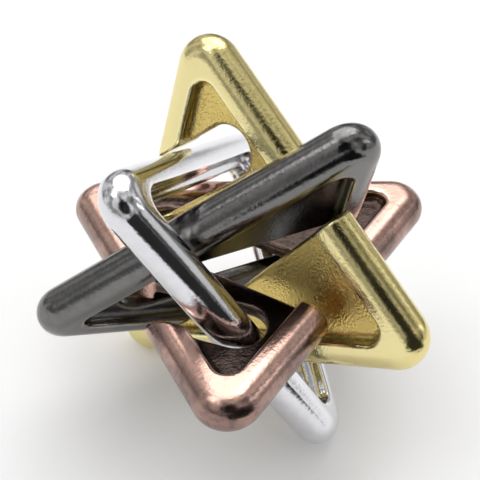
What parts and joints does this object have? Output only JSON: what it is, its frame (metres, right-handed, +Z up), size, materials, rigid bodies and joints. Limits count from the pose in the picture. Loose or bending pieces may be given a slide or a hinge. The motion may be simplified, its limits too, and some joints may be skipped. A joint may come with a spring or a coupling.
{
  "type": "mechanical puzzle",
  "caption": "Take-apart metal puzzle of slotted triangular plates and an open triangular frame, linked through each other.",
  "frame": {"origin": "on the ground, under the middle of the bounding box, with the puzzle lying on three corner tips", "axes": "+Z up; +X along the uncut back side of the copper plate; the copper plate's cut corner points to -Y"},
  "size_m": [0.0504, 0.0568, 0.0491],
  "materials": {
    "chrome_plating": "polished chrome over cast zinc",
    "gold_plating": "polished pale gold plating, stippled in the recesses",
    "copper_plating": "satin antiqued copper plating, dark in the recesses",
    "black_nickel_plating": "glossy black nickel plating"
  },
  "bodies": {
    "silver": {"silver_frame": "chrome_plating"},
    "gold": {"gold_plate": "gold_plating"},
    "copper": {"copper_plate": "copper_plating"},
    "black": {"black_plate": "black_nickel_plating"}
  },
  "joints": [
    {"name": "gold_rock", "type": "hinge", "parent": "silver", "child": "gold", "pos_m": [0.0016, -0.0005, 0.0224], "axis": [0.001, -0.9989, 0.047], "range_deg": [-1.5, 12.5]},
    {"name": "copper_rock", "type": "hinge", "parent": "silver", "child": "copper", "pos_m": [0.0008, 0.0011, 0.0209], "axis": [0.6998, -0.2429, 0.6718], "range_deg": [-5, 1]},
    {"name": "black_rock", "type": "hinge", "parent": "silver", "child": "black", "pos_m": [0, -0.0005, 0.0223], "axis": [0.5939, 0.227, 0.7719], "range_deg": [-3, 1]}
  ]
}
